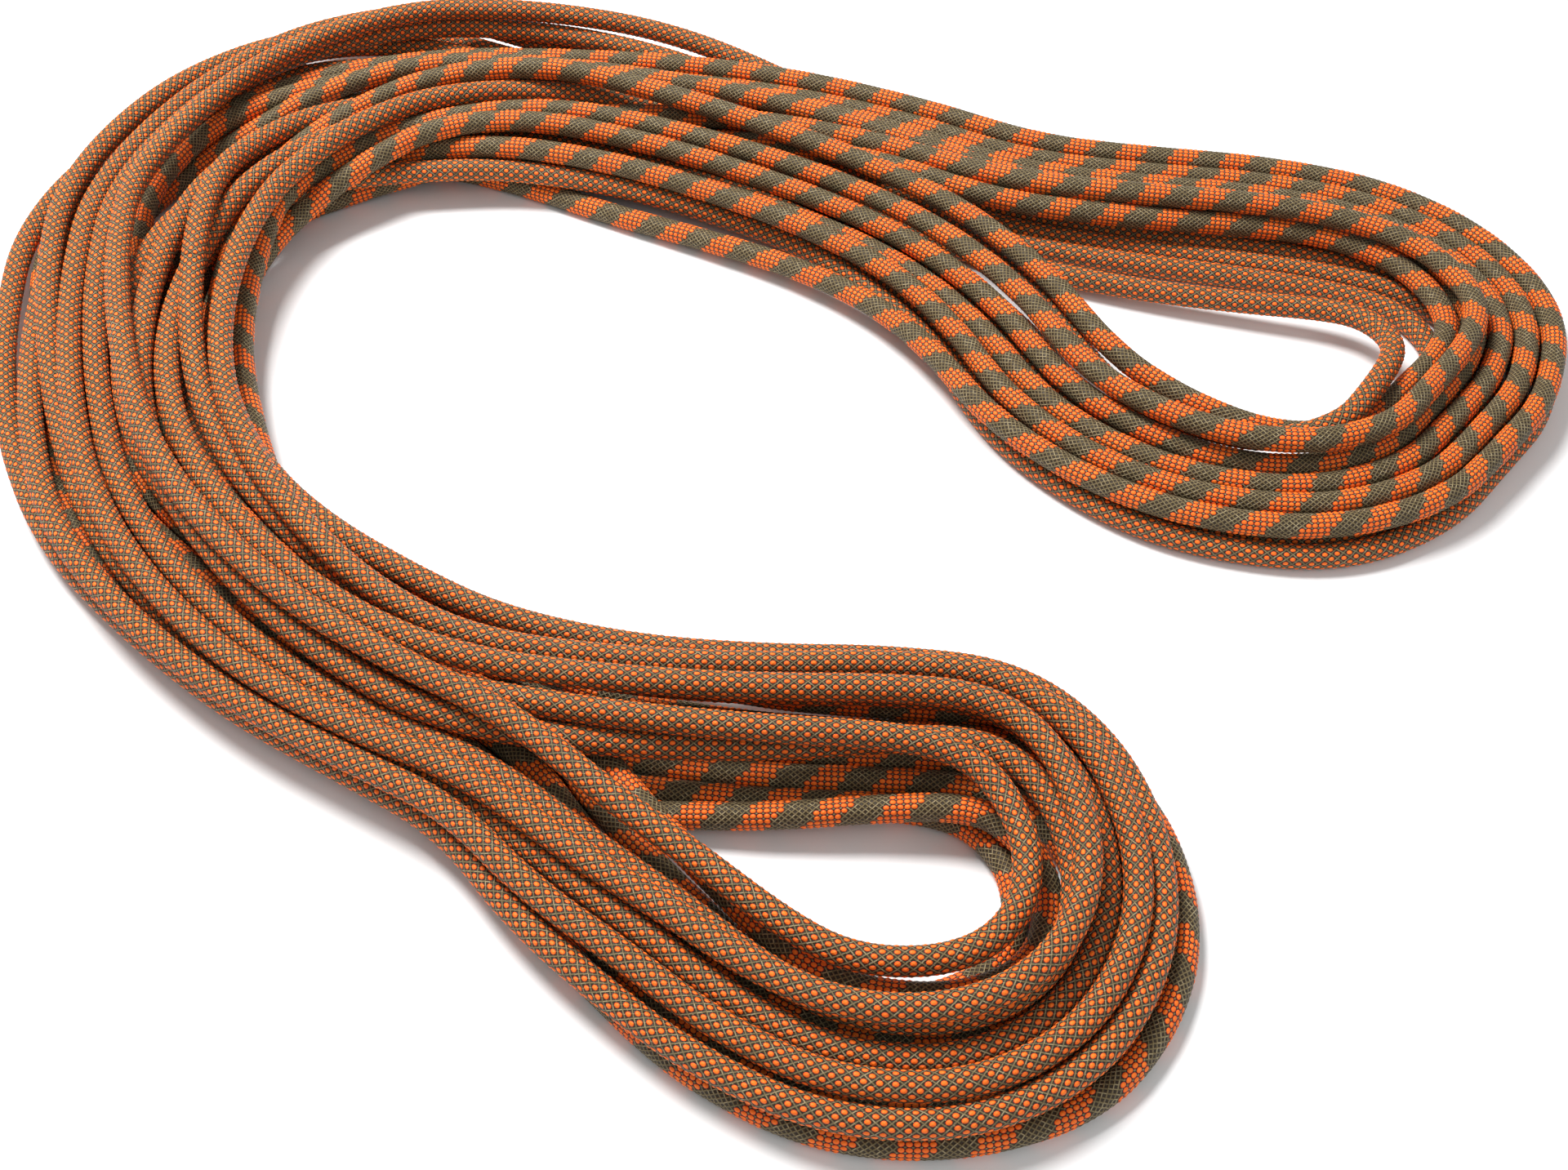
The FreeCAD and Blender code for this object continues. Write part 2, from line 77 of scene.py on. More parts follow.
# Each half of the skein is a ribbon of six strands, given by stations round one turn. A station
# gives the ribbon's middle in plan, the level of its upper row in strand diameters, its roll and
# its strand spacing in pitches. Roll counts the strands that have passed round the outer edge to
# the row below (0 to 6) and then back up round the inner edge (6 to 12). It grows by 12 in a turn.
DOTTED = [
    (-269.4, 85.9, 2, 0.8, 0.98), (-281.3, 132.5, 2, 0.8, 0.98), (-287.3, 188.7, 2, 0.8, 0.98),
    (-269.6, 247.8, 2, 0.9, 1), (-232.9, 301.6, 2, 1.6, 1), (-169, 329, 1.9, 3, 1.02),
    (-98.3, 310.8, 1.5, 4.6, 0.93), (-29.5, 283.8, 1.2, 5.7, 0.93), (32.2, 232.2, 1, 6, 0.93),
    (101.1, 194.7, 1, 6.2, 1), (172.8, 181.1, 1, 6.5, 1.2), (232.3, 169, 1, 6.8, 1.2),
    (268.7, 149.2, 1, 6.8, 0.95), (280.1, 112.8, 1, 6.8, 0.84), (254.2, 79.1, 1, 6.8, 0.8),
    (225.8, 47.3, 1, 6.8, 0.9), (181.2, 33.4, 1, 6.8, 1), (137.6, 53, 1, 6.8, 1.08),
    (105.6, 84, 1, 6.5, 1.1), (82, 142.1, 1, 6.2, 1.05), (40.6, 188.2, 1, 6, 0.93),
    (-8.4, 223.7, 0.8, 6.1, 0.93), (-63.6, 248, 1.1, 6.7, 0.93), (-126, 260.4, 1.5, 7.9, 1.08),
    (-182.5, 239.9, 1.9, 9.5, 1.15), (-216.2, 210.9, 2, 10.6, 1.1), (-232.9, 175.5, 2, 11.2, 1.04),
    (-235.8, 121.8, 2, 11.2, 1), (-225.4, 66.2, 2, 11, 0.98), (-199.5, 17.9, 2, 10.5, 0.98),
    (-159.8, -25, 2, 10, 0.98), (-112.5, -60.4, 2, 10.2, 0.98), (-47.2, -72.1, 1.5, 11, 0.82),
    (13, -72.7, 1.1, 11.6, 0.82), (59.2, -70.6, 1.1, 11.6, 0.82), (86, -91.3, 1.3, 11.4, 0.78),
    (95.6, -131, 1.4, 11.4, 0.78), (83, -167.4, 1.3, 11.6, 0.78), (50.3, -187.6, 1.1, 12, 0.87),
    (7.2, -183, 1.1, 12.2, 0.85), (-26.2, -157.6, 1.1, 12.4, 0.85), (-63.4, -129.2, 1.5, 13, 0.89),
    (-103.1, -92.8, 2, 13.8, 0.93), (-154.3, -68, 2, 14, 0.98), (-207.9, -23.9, 2, 13.8, 0.98),
    (-248, 29.1, 2, 13.2, 0.98),
]
BANDED = [
    (-264.3, 88.1, 1, 7, 0.96), (-275.4, 133.4, 1, 7, 0.96), (-288.4, 188.2, 1, 7.1, 0.98),
    (-267.4, 241.1, 1, 7.6, 1), (-218.1, 270.2, 1.2, 8.8, 1), (-155.9, 279.5, 1.5, 10.2, 1),
    (-92.3, 274.5, 1.5, 11.1, 0.95), (-25, 266, 1.3, 11.6, 0.95), (44.3, 242.8, 1.2, 11.8, 0.95),
    (108.3, 211, 1.2, 11.6, 1), (177.6, 203.7, 1.2, 11.4, 1), (232.7, 193, 1.2, 11.2, 1),
    (272.2, 163.2, 1.2, 11.2, 0.88), (284.6, 115.3, 1.2, 11.2, 0.84), (257, 77.6, 1.2, 11.2, 0.88),
    (229, 46.5, 1.2, 11.2, 0.93), (180.8, 34.6, 1.2, 11.2, 1), (134.5, 50.8, 1.2, 11.3, 1.08),
    (99.4, 81.7, 1.2, 11.6, 1.1), (73.1, 134.5, 1.2, 11.9, 1.05), (33.7, 174.7, 1.2, 12.1, 0.95),
    (-16.3, 204.4, 1.4, 12.3, 0.95), (-69.3, 228, 1.7, 12.8, 0.95), (-128, 243.5, 1.6, 13.8, 1.05),
    (-181.2, 232.4, 1.2, 15.2, 1.1), (-219.1, 204.7, 1, 16.3, 1.05), (-233.6, 165.4, 1, 17, 0.98),
    (-235.5, 114.3, 1, 17, 0.98), (-222.9, 62.8, 1, 16.8, 0.98), (-197.7, 13, 1, 16.3, 0.98),
    (-156.3, -21.9, 1, 16, 0.98), (-104.7, -48.2, 1, 17.5, 0.98), (-46.1, -74.5, 1, 17.9, 0.98),
    (15.2, -80.3, 1, 18.2, 0.76), (62.5, -80.7, 1, 18.6, 0.76), (90.8, -94.6, 1, 18.8, 0.8),
    (103.2, -132, 1, 18.8, 0.8), (90.7, -172.5, 1, 18.8, 0.8), (52.4, -189.4, 1, 18.8, 0.85),
    (6.1, -185.3, 1, 18.8, 0.85), (-27.7, -158.8, 1, 18.8, 0.83), (-60.9, -123.5, 1, 18.9, 0.85),
    (-92.4, -79.6, 1, 19.2, 0.92), (-139.8, -51.1, 1, 19.9, 0.94), (-194, -7.1, 1, 19.8, 0.96),
    (-239.8, 41.7, 1, 19.2, 0.96),
]
FULL_ROLL = 2 * TURNS_PER_HALF
ROLL_COLUMN = 3


def between_stations(stations, s):
    """The five values at place s, on a smooth closed curve through the stations."""
    first = math.floor(s)
    f = s - first
    values = []
    for column in range(len(stations[0])):
        corner = []
        for index in range(first - 1, first + 3):
            value = stations[index % len(stations)][column]
            if column == ROLL_COLUMN:
                value += FULL_ROLL * (index // len(stations))
            corner.append(value)
        a, b, c, d = corner
        values.append(b + 0.5 * f * (c - a + f * (2 * a - 5 * b + 4 * c - d + f * (3 * (b - c) + d - a))))
    return values


def across_ribbon(q, roll):
    """Where the strand at flat place q lies across the rolled ribbon, and its distance past the fold."""
    half = TURNS_PER_HALF / 2
    roll = roll % FULL_ROLL
    if roll <= TURNS_PER_HALF:
        folded, side, past = roll, 1, half - q - roll
    else:
        folded, side, past = FULL_ROLL - roll, -1, half + q - FULL_ROLL + roll
    middle = (folded ** 2 + (TURNS_PER_HALF - folded) ** 2) / (2 * TURNS_PER_HALF)
    return side * (middle - math.sqrt(past * past + 0.16)), past


def strand_point(t, half, tail):
    """The point of the laid-out rope t turns from its banded end, as a strand of one half."""
    stations = (BANDED, DOTTED)[half]
    s = SEAM_STATION + t * len(stations)
    x, y, level, roll, spacing = between_stations(stations, s % len(stations))
    back = between_stations(stations, (s - 0.05) % len(stations))
    ahead = between_stations(stations, (s + 0.05) % len(stations))
    along = math.hypot(ahead[0] - back[0], ahead[1] - back[1])
    out_x = (back[1] - ahead[1]) / along
    out_y = (ahead[0] - back[0]) / along
    q = TURNS_PER_HALF / 2 - min(TURNS_PER_HALF, max(0, t - TURNS_PER_HALF * half))
    across, past = across_ribbon(q, roll)
    stray = math.sin(2 * math.pi * 2.37 * t) + 0.75 * math.sin(2 * math.pi * 4.61 * t + 1)
    across = across * spacing + WANDER * stray * spacing ** 2 + TAIL_STEP * tail
    above = 1 if math.floor(t) % 2 else -1
    level = max(0, level - 0.5 + max(-0.5, min(0.5, past))) * (1 - min(1, 1.2 * tail))
    level = max(0, level + above * math.sqrt(max(0, 1 - spacing ** 2)) / 2)
    height = ROPE_RADIUS + level * ROPE_DIAMETER
    return [x + out_x * across * PITCH, y + out_y * across * PITCH, height]


def laid_out_route():
    """The whole rope's route before it settles, from its banded end to its dotted end, in mm."""
    points = []
    last = TURNS * POINTS_PER_TURN
    for i in range(-TAIL_POINTS, last + TAIL_POINTS + 1):
        t = i / POINTS_PER_TURN
        tail = min(1, max(0, 3 - i, i - last + 3) / (TAIL_POINTS + 1))
        over = (t - TURNS_PER_HALF) / CROSSOVER
        if 0 <= over < 1:
            share = over * over * (3 - 2 * over)
            banded = strand_point(t, 0, tail)
            dotted = strand_point(t, 1, tail)
            points.append([a + (b - a) * share for a, b in zip(banded, dotted)])
        else:
            points.append(strand_point(t, 0 if over < 0 else 1, tail))
    return points


def curve_nodes(points):
    """Points on the smooth curve that the route steers: one near each route point, one mid-run."""
    nodes = np.empty((2 * len(points) - 1, 3))
    nodes[0] = points[0]
    nodes[-1] = points[-1]
    nodes[1::2] = (points[:-1] + points[1:]) / 2
    nodes[2:-2:2] = (points[:-2] + 6 * points[1:-1] + points[2:]) / 8
    return nodes


def closest(a, b, c, d):
    """Where segments a-b and c-d are nearest: both fractions, and the vectors between those points."""
    u, v, w = b - a, d - c, a - c
    uu, uv, vv = (u * u).sum(1), (u * v).sum(1), (v * v).sum(1)
    uw, vw = (u * w).sum(1), (v * w).sum(1)
    slant = uu * vv - uv * uv
    crossing = slant > 1e-9 * uu * vv
    s = np.where(crossing, (uv * vw - vv * uw) / np.where(crossing, slant, 1), 0.5)
    s = np.clip(s, 0, 1)
    t = (uv * s + vw) / vv
    outside = (t < 0) | (t > 1)
    t = np.clip(t, 0, 1)
    s = np.where(outside, np.clip((uv * t - uw) / uu, 0, 1), s)
    return s, t, w + s[:, None] * u - t[:, None] * v


def neighbours(nodes):
    """Pairs of curve segments that are, or may soon be, in contact."""
    middles = (nodes[:-1] + nodes[1:]) / 2
    firsts, seconds = [], []
    for start in range(0, len(middles), 200):
        apart = middles[start:start + 200, None, :2] - middles[None, :, :2]
        k, m = np.nonzero((apart * apart).sum(2) <= CELL ** 2)
        k += start
        kept = (m > k + 8) & (np.abs(middles[k, 2] - middles[m, 2]) <= 2 * ROPE_DIAMETER)
        firsts.append(k[kept])
        seconds.append(m[kept])
    k = np.concatenate(firsts)
    m = np.concatenate(seconds)
    apart = closest(nodes[k], nodes[k + 1], nodes[m], nodes[m + 1])[2]
    kept = (apart * apart).sum(1) < (PITCH + NEAR) ** 2
    return k[kept], m[kept]


def contact_shifts(nodes, k, m, count):
    """How contacts move each route point: summed shifts and, in the last column, their weights."""
    s, t, apart = closest(nodes[k], nodes[k + 1], nodes[m], nodes[m + 1])
    sleeved = 2 * TAIL_POINTS
    reach = PITCH + SLEEVE_WALL * ((k < sleeved) | (m > len(nodes) - 2 - sleeved))
    square = (apart * apart).sum(1)
    apart = np.where((square < 1)[:, None], np.array([0.0, 0.0, -1.0]), apart)
    distance = np.sqrt(np.where(square < 1, 1.0, square))
    hit = square < reach * reach
    k, m, s, t, apart = k[hit], m[hit], s[hit], t[hit], apart[hit]
    part = 0.5 * (reach[hit] - distance[hit]) / distance[hit]
    shifts = np.zeros((count + 2, 4))
    for start, fraction, sign in ((k, s, part), (m, t, -part)):
        push = np.column_stack((apart * sign[:, None], np.ones(len(part))))
        for node, weight in ((start, 1 - fraction), (start + 1, fraction)):
            odd = (node & 1) == 1
            weight = np.where(odd, weight / 2, weight) * (weight >= 0.02)
            for column in range(4):
                value = push[:, column] * weight
                shifts[:, column] += np.bincount(node >> 1, value, count + 2)
                shifts[:, column] += np.bincount((node >> 1) + 1, value * odd, count + 2)
    return shifts[:count]


def ease_bends(points):
    """Open the bends that are too tight for the rope."""
    back = points[:-2] - points[1:-1]
    on = points[2:] - points[1:-1]
    back_run = np.sqrt((back * back).sum(1))
    on_run = np.sqrt((on * on).sum(1))
    cosine = (back * on).sum(1) / (back_run * on_run)
    half_turn_tangent = np.sqrt(np.maximum(1 + cosine, 1e-9) / (1 - cosine))
    radius = ARC_SHARE * np.minimum(back_run, on_run) / half_turn_tangent
    share = 0.125 * np.maximum(0, 1 - radius / EASED_RADIUS)
    points[1:-1] += share[:, None] * (back + on)


def settle(points, home, rounds, pull, drop, stiffness):
    """Move the points for a number of rounds, as STAGES says."""
    floor = np.full(len(points), ROPE_RADIUS)
    floor[:TAIL_POINTS] += SLEEVE_WALL
    floor[-TAIL_POINTS:] += SLEEVE_WALL
    for done in range(rounds):
        nodes = curve_nodes(points)
        if done % LOOK_AGAIN == 0:
            k, m = neighbours(nodes)
        shifts = contact_shifts(nodes, k, m, len(points))
        gain = PUSH / np.maximum(shifts[:, 3], 1.0)
        pulled = (home[:, :2] - points[:, :2]) * pull
        points += shifts[:, :3] * gain[:, None]
        points[:, :2] += pulled
        points[:, 2] -= drop
        strayed = points - home * np.array([1.0, 1.0, 0.0])
        points[1:-1] += stiffness * ((strayed[:-2] + strayed[2:]) / 2 - strayed[1:-1])
        ease_bends(points)
        points[:, 2] = np.maximum(points[:, 2], floor)


def settled_route():
    """The rope's route once its strands lie on the floor and on each other, and its middle in plan."""
    home = np.array(laid_out_route())
    points = home.copy()
    for stage in STAGES:
        settle(points, home, *stage)
    middle = (points.min(axis=0) + points.max(axis=0)) / 2
    middle[2] = 0
    return points - middle, middle


ROUTE, MIDDLE = settled_route()

# ---- camera: 49 degrees above the floor, 0.66 m from the skein's middle ----
CAMERA_HEIGHT_ANGLE = math.radians(49)
CAMERA_DISTANCE = 0.663
camera_data = bpy.data.cameras.new("camera")
camera_data.sensor_width = 36
camera_data.lens = 42.66
camera = bpy.data.objects.new("camera", camera_data)
bpy.context.scene.collection.objects.link(camera)
aim = Vector((-MIDDLE[0] * MM, -MIDDLE[1] * MM, 0))
away = Vector((0, -math.cos(CAMERA_HEIGHT_ANGLE), math.sin(CAMERA_HEIGHT_ANGLE)))
camera.location = aim + away * CAMERA_DISTANCE
camera.rotation_euler = (-away).to_track_quat("-Z", "Y").to_euler()
bpy.context.scene.camera = camera

# ---- the sheath's braid ----
SHEATH_WALL = 0.9
ROWS = 16                    # yarn floats round the rope
FLOAT_LENGTH = 2.2           # from one float to the next in a row
BAND_FLOATS = 10             # floats in one band period, half of them orange
ORANGE_SHARE = 0.49          # just under half, so that rounding can't move an edge
BAND_SLANT = 1.0             # which way the bands wind round
SAMPLES = 2                  # mesh points across one float, both ways
RELIEF = 0.30                # from a groove to the top of an orange float
OLIVE_HEIGHT = 0.55          # height of the olive floats beside the orange ones
TWIST = 0.7                  # how far the rope turns round its own line, in radians
TWIST_RINGS = 210.0          # over how many of the mesh's rings it turns by a radian of that wave
STRIPS = 9                   # strips that a turn's skin is cut into on its bake map
BAKE_MARGIN = 0.004          # between them, and at the map's sides
FLOAT_POWER = 1.9            # orange floats are nearly ellipses
FLOAT_REACH = 0.475          # their half size, in cells
BUMP_DEPTH = 0.00045
ORANGE = (1.0, 0.205, 0.014)
ORANGE_DEEP = (1.0, 0.15, 0.009)
# painted shade: the rounded rim of each orange float is blended towards this deep red
ORANGE_RIM_SHADE = (0.8, 0.035, 0.004)
OLIVE = (0.19, 0.142, 0.064)
# painted shade: the gaps between the olive yarn dashes go dark towards this
OLIVE_GAP_SHADE = (0.03, 0.018, 0.008)
# painted highlight: pale glints on the crowns of random olive yarn dashes
OLIVE_GLINT = (0.44, 0.36, 0.21)
# painted shade: the groove just outside each orange float is darkened towards this
GROOVE_SHADE = (0.045, 0.012, 0.005)

# ---- light: name, place in metres, size and power ----
AMBIENT = 0.42
LAMPS = (
    ("key", (-0.5, 0.45, 1.3), 0.6, 32),
    ("fill", (0.8, -1.0, 1.2), 1.2, 5),
)


def read_spline(name, points):
    """Points along the smooth spline that has these control points, in mm."""
    curve = bpy.data.curves.new(name, "CURVE")
    curve.dimensions = "3D"
    curve.resolution_u = 30
    spline = curve.splines.new("NURBS")
    spline.points.add(len(points) - 1)
    for control, p in zip(spline.points, points):
        control.co = (p[0] * MM, p[1] * MM, p[2] * MM, 1)
    spline.order_u = 3
    spline.use_endpoint_u = True
    holder = bpy.data.objects.new(name, curve)
    mesh = bpy.data.meshes.new_from_object(holder)
    line = np.empty(len(mesh.vertices) * 3)
    mesh.vertices.foreach_get("co", line)
    bpy.data.objects.remove(holder)
    bpy.data.curves.remove(curve)
    bpy.data.meshes.remove(mesh)
    line = line.reshape(-1, 3) / MM
    step = np.sqrt((np.diff(line, axis=0) ** 2).sum(1))
    kept = np.concatenate(([True], step > 1e-4))
    return line[kept]


def distances_along(line):
    return np.concatenate(([0], np.cumsum(np.sqrt((np.diff(line, axis=0) ** 2).sum(1)))))


def at_distance(line, along, wanted):
    return np.column_stack([np.interp(wanted, along, line[:, axis]) for axis in range(3)])


def carried_sides(tangents):
    """A side vector for each tangent, turned as little as possible along the rope."""
    sides = np.empty_like(tangents)
    side = np.cross(tangents[0], (0, 0, 1.0))
    side /= np.linalg.norm(side)
    for i, tangent in enumerate(tangents):
        side = side - tangent * side.dot(tangent)
        side /= math.sqrt(side.dot(side))
        sides[i] = side
    return sides


def skein_rings():
    """Each turn's mesh rings: centres, directions, side vectors and the number of its first ring."""
    line = read_spline("rope_line", ROUTE)
    along = distances_along(line)
    cuts = [0.0]
    for turn in range(1, TURNS):
        before = TAIL_POINTS + turn * POINTS_PER_TURN
        joint = (ROUTE[before] + ROUTE[before + 1]) / 2
        cuts.append(along[np.argmin(((line - joint) ** 2).sum(1))])
    cuts.append(along[-1])
    places = [np.zeros(1)]
    for first, last in zip(cuts, cuts[1:]):
        floats = round((last - first) / FLOAT_LENGTH)
        places.append(np.linspace(first, last, floats * SAMPLES + 1)[1:])
    every = np.concatenate(places)
    centres = at_distance(line, along, every)
    tangents = at_distance(line, along, np.minimum(every + 0.5, along[-1]))
    tangents -= at_distance(line, along, np.maximum(every - 0.5, 0))
    tangents /= np.sqrt((tangents ** 2).sum(1))[:, None]
    sides = carried_sides(tangents)
    turns = []
    start = 0
    for ring_places in places[1:]:
        rings = slice(start, start + len(ring_places) + 1)
        turns.append((centres[rings], tangents[rings], sides[rings], start))
        start += len(ring_places)
    return turns


def colour_phase(banded, u, v):
    """Where a float is in the colour pattern: the first half of each whole number is orange.

    u counts floats along the rope, and v counts rows round it.
    """
    if banded:
        return (np.floor(u) + 0.5) / BAND_FLOATS + BAND_SLANT * (np.floor(v) + 0.5) / ROWS
    return (np.floor(u) + np.floor(v)) / 2


def braid_height(banded, u, v):
    """Height of the braid, 0 to 1: orange floats stand higher than the finer olive weave."""
    phase = colour_phase(banded, u, v)
    raised = np.where(phase - np.floor(phase) < ORANGE_SHARE, 1.0, OLIVE_HEIGHT)
    return raised * np.sqrt(np.abs(np.sin(np.pi * u) * np.sin(np.pi * v)))


def ride_and_finish(piece, slot_name, *nodes):
    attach(piece, "root")
    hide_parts(*nodes)


def surface(name, points, faces, material):
    """A smooth mesh piece from points in millimetres."""
    mesh = bpy.data.meshes.new(name)
    mesh.from_pydata([tuple(p) for p in np.asarray(points) * MM], [], faces)
    mesh.materials.append(material)
    mesh.polygons.foreach_set("use_smooth", [True] * len(mesh.polygons))
    mesh.update()
    piece = bpy.data.objects.new(name, mesh)
    bpy.context.scene.collection.objects.link(piece)
    return piece


def ring_points(centres, tangents, sides, radii, angles):
    """Points round each centre, at these radii and angles."""
    ups = np.cross(tangents, sides)
    across = np.cos(angles)[..., None] * sides[:, None] + np.sin(angles)[..., None] * ups[:, None]
    return centres[:, None] + across * radii[..., None]


def make_turn(turn, rings, materials):
    """One turn of the rope: the braid's relief outside, and a face of sheath and core at each end."""
    centres, tangents, sides, first_ring = rings
    pattern = ("banded", "dotted")[turn // TURNS_PER_HALF]
    number = turn % TURNS_PER_HALF + 1
    around = ROWS * SAMPLES
    count = len(centres)
    ring_numbers = np.arange(count) + (first_ring % (2 * BAND_FLOATS * SAMPLES))
    u = np.repeat(ring_numbers[:, None] / SAMPLES, around, axis=1)
    v = np.repeat(np.arange(around)[None] / SAMPLES, count, axis=0)
    twist = TWIST * np.sin((first_ring + np.arange(count)) / TWIST_RINGS)
    angles = 2 * np.pi * v / ROWS + twist[:, None]
    radii = ROPE_RADIUS - RELIEF * (1 - braid_height(pattern == "banded", u, v))
    points = ring_points(centres, tangents, sides, radii, angles).reshape(-1, 3)
    core = np.full((2, around), ROPE_RADIUS - SHEATH_WALL)
    ends = [0, count - 1]
    core_points = ring_points(centres[ends], tangents[ends], sides[ends], core, angles[ends])
    points = np.vstack((points, core_points.reshape(-1, 3)))

    ring, step = np.meshgrid(np.arange(count - 1), np.arange(around), indexing="ij")
    a = (ring * around + step).ravel()
    b = (ring * around + (step + 1) % around).ravel()
    quads = [np.column_stack((a, b, b + around, a + around))]
    step = np.arange(around)
    on = (step + 1) % around
    low = count * around         # the first point of the two rings round the core
    quads.append(np.column_stack((on, step, low + step, low + on)))
    last = (count - 1) * around
    quads.append(np.column_stack((last + step, last + on, low + around + on, low + around + step)))
    quads = np.concatenate(quads)
    corners = np.concatenate((quads.ravel(), low + step[::-1], low + around + step))

    mesh = bpy.data.meshes.new(f"rope_{pattern}_turn_{number}")
    mesh.vertices.add(len(points))
    mesh.vertices.foreach_set("co", (points * MM).ravel())
    mesh.loops.add(len(corners))
    mesh.loops.foreach_set("vertex_index", corners)
    mesh.polygons.add(len(quads) + 2)
    starts = np.concatenate((np.arange(len(quads)) * 4, len(quads) * 4 + np.array([0, around])))
    mesh.polygons.foreach_set("loop_start", starts)
    slots = np.zeros(len(quads) + 2, np.int32)
    slots[-2:] = 1
    mesh.polygons.foreach_set("material_index", slots)
    for material in materials:
        mesh.materials.append(material)
    mesh.update(calc_edges=True)
    mesh.polygons.foreach_set("use_smooth", np.ones(len(quads) + 2, bool))

    # Braid coordinates: floats along the rope and rows round it, unbroken across the last row.
    skin = len(a)
    braid = np.zeros((len(corners), 2))
    along = ring_numbers[ring.ravel()] / SAMPLES
    row = np.tile(np.arange(around), count - 1) / SAMPLES
    d = 1 / SAMPLES
    skin_u = np.column_stack((along, along, along + d, along + d))
    skin_v = np.column_stack((row, row + d, row + d, row))
    braid[:4 * skin, 0] = skin_u.ravel()
    braid[:4 * skin, 1] = skin_v.ravel()
    mesh.uv_layers.new(name="braid").data.foreach_set("uv", braid.ravel())

    # Bake map: the skin is cut into strips, one above the other, and the end faces lie in a corner.
    per_strip = -(-(count - 1) // STRIPS)
    strip = ring.ravel() // per_strip
    place = ring.ravel() % per_strip
    margin = BAKE_MARGIN
    width = (1 - 2 * margin) / per_strip
    height = 1 / (STRIPS + 0.5)
    left = margin + place * width
    bottom = strip * height + margin / 2
    tall = (height - margin) / around
    rows = np.tile(np.arange(around), count - 1)
    bake = np.zeros((len(corners), 2))
    bake[:4 * skin, 0] = np.column_stack((left, left, left + width, left + width)).ravel()
    low_edge = bottom + rows * tall
    high_edge = low_edge + tall
    bake[:4 * skin, 1] = np.column_stack((low_edge, high_edge, high_edge, low_edge)).ravel()
    flat = 0.4 * height
    turned = 2 * np.pi * (corners[4 * skin:] % around) / around
    rim = np.where(corners[4 * skin:] < low, 0.45, 0.36) * flat
    end = np.where(np.arange(len(turned)) < 4 * around, 0, 1)
    end[8 * around:9 * around] = 0
    bake[4 * skin:, 0] = 0.05 + 0.06 * end + rim * np.cos(turned)
    bake[4 * skin:, 1] = 1 - flat / 2 - margin + rim * np.sin(turned)
    mesh.uv_layers.new(name="OFBake").data.foreach_set("uv", bake.ravel())
    mesh.uv_layers["braid"].active_render = True

    piece = bpy.data.objects.new(mesh.name, mesh)
    bpy.context.scene.collection.objects.link(piece)
    name = f"{pattern}_turn_{number}"
    ride_and_finish(piece, f"{pattern}_sheath", "sheath_" + name, "core_" + name)
    return piece


def lathe(name, rings, profile, material, lumps, closed):
    """A round piece on the rope's end.

    Each pair in profile is a distance from the rope's end and a radius. A closed profile joins its
    last pair to its first, and an open one gets a flat face at each end.
    """
    centres, tangents, sides = rings
    around = 48
    place = np.array([p[0] for p in profile])
    radius = np.array([p[1] for p in profile])
    angles = np.repeat(2 * np.pi * np.arange(around)[None] / around, len(profile), axis=0)
    bumps = np.zeros_like(angles)
    for waves, phase, size in lumps:
        bumps += size * np.sin(waves * angles + phase + place[:, None] * 0.9)
    radii = np.maximum(radius[:, None] + bumps * (radius[:, None] > 1), 0.01)
    known = distances_along(centres)
    middle = at_distance(centres, known, np.clip(place, 0, known[-1]))
    middle += tangents[0] * np.minimum(place, 0)[:, None]
    directions = at_distance(tangents, known, place)
    side = at_distance(sides, known, place)
    points = ring_points(middle, directions, side, radii, angles).reshape(-1, 3)
    faces = []
    rings_joined = len(profile) if closed else len(profile) - 1
    for i in range(rings_joined):
        for j in range(around):
            a, b = i * around + j, i * around + (j + 1) % around
            shift = around if i + 1 < len(profile) else -i * around
            faces.append((a, b, b + shift, a + shift))
    if not closed:
        faces.append(tuple(reversed(range(around))))
        faces.append(tuple(range((len(profile) - 1) * around, len(profile) * around)))
    return surface(name, points, faces, material)


# ---- materials ----

def add_node(tree, kind, **settings):
    node = tree.nodes.new(kind)
    for name, value in settings.items():
        setattr(node, name, value)
    return node


def plug(tree, socket, value):
    if isinstance(value, bpy.types.NodeSocket):
        tree.links.new(value, socket)
    else:
        socket.default_value = value


def maths(tree, operation, *values):
    node = add_node(tree, "ShaderNodeMath", operation=operation)
    for socket, value in zip(node.inputs, values):
        plug(tree, socket, value)
    return node.outputs[0]


def span(tree, value, low, high, out_low=0.0, out_high=1.0):
    """value from low to high, as out_low to out_high, smoothly."""
    node = add_node(tree, "ShaderNodeMapRange", interpolation_type="SMOOTHSTEP")
    for socket, given in zip(node.inputs, (value, low, high, out_low, out_high)):
        plug(tree, socket, given)
    return node.outputs[0]


def blend(tree, share, first, second):
    node = add_node(tree, "ShaderNodeMix", data_type="RGBA")
    for socket, value in ((node.inputs[0], share), (node.inputs[6], first), (node.inputs[7], second)):
        plug(tree, socket, value)
    return node.outputs[2]


def noise(tree, place, scale, detail=2.0, output="Fac"):
    node = add_node(tree, "ShaderNodeTexNoise")
    plug(tree, node.inputs["Vector"], place)
    node.inputs["Scale"].default_value = scale
    node.inputs["Detail"].default_value = detail
    return node.outputs[output]


def new_material(name):
    material = bpy.data.materials.new(name)
    material.use_nodes = True
    tree = material.node_tree
    return material, tree, tree.nodes["Principled BSDF"]


def bump(tree, shader, height, distance, strength=1.0):
    node = add_node(tree, "ShaderNodeBump")
    node.inputs["Strength"].default_value = strength
    node.inputs["Distance"].default_value = distance
    tree.links.new(height, node.inputs["Height"])
    tree.links.new(node.outputs[0], shader.inputs["Normal"])


